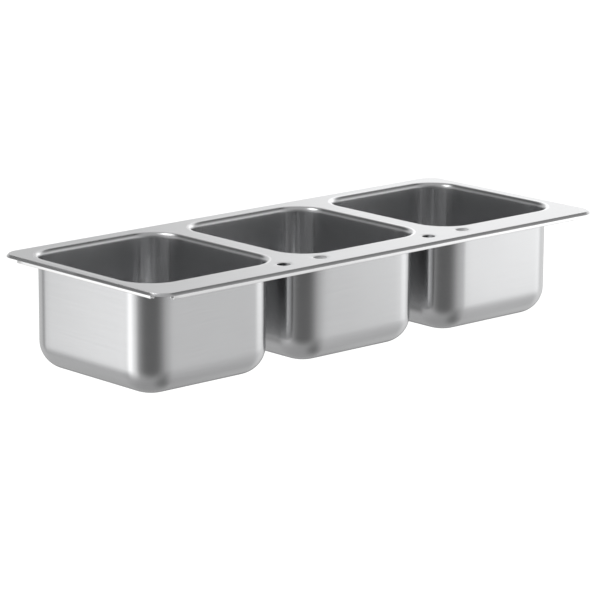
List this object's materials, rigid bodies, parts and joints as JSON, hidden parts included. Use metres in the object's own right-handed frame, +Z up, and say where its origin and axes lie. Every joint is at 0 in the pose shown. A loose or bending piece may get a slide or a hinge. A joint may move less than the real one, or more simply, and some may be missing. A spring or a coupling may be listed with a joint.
{
  "type": "three compartment sink",
  "caption": "Drop-in stainless steel sink with equal deep-drawn bowls side by side, a faucet ledge with paired holes, clip rails under the rim and lift-out strainer baskets.",
  "frame": {"origin": "middle of the counter cut-out, in the plane of the counter top that the rim rests on", "axes": "+X to the right along the sink for a user standing in front, +Y away from the user towards the faucet ledge, +Z up"},
  "size_m": [1.27, 0.525, 0.2772],
  "materials": {
    "deck_steel": "satin, grained along the length",
    "bowl_steel": "satin, drawn and polished",
    "rail_steel": "mill finish",
    "strainer_steel": "polished stainless steel",
    "cast_brass": "as cast",
    "black_rubber": "matt",
    "pale_fibre": "pressed fibre"
  },
  "bodies": {
    "sink": {"deck": "deck_steel", "bowl_left": "bowl_steel", "bowl_centre": "bowl_steel", "bowl_right": "bowl_steel", "rail_front": "rail_steel", "rail_back": "rail_steel", "rail_left": "rail_steel", "rail_right": "rail_steel", "strainer_body_left": "strainer_steel", "drain_gasket_left": "black_rubber", "friction_ring_left": "pale_fibre", "lock_nut_left": "cast_brass", "strainer_body_centre": "strainer_steel", "drain_gasket_centre": "black_rubber", "friction_ring_centre": "pale_fibre", "lock_nut_centre": "cast_brass", "strainer_body_right": "strainer_steel", "drain_gasket_right": "black_rubber", "friction_ring_right": "pale_fibre", "lock_nut_right": "cast_brass"},
    "strainer_basket_left": {"basket_left": "strainer_steel", "basket_knob_left": "strainer_steel", "basket_stopper_left": "black_rubber", "basket_nut_left": "strainer_steel"},
    "strainer_basket_centre": {"basket_centre": "strainer_steel", "basket_knob_centre": "strainer_steel", "basket_stopper_centre": "black_rubber", "basket_nut_centre": "strainer_steel"},
    "strainer_basket_right": {"basket_right": "strainer_steel", "basket_knob_right": "strainer_steel", "basket_stopper_right": "black_rubber", "basket_nut_right": "strainer_steel"}
  },
  "joints": [
    {"name": "basket_lift_left", "type": "slide", "parent": "sink", "child": "strainer_basket_left", "axis": [0, 0, 1], "range_m": [0, 0.28]},
    {"name": "basket_lift_centre", "type": "slide", "parent": "sink", "child": "strainer_basket_centre", "axis": [0, 0, 1], "range_m": [0, 0.28]},
    {"name": "basket_lift_right", "type": "slide", "parent": "sink", "child": "strainer_basket_right", "axis": [0, 0, 1], "range_m": [0, 0.28]}
  ]
}
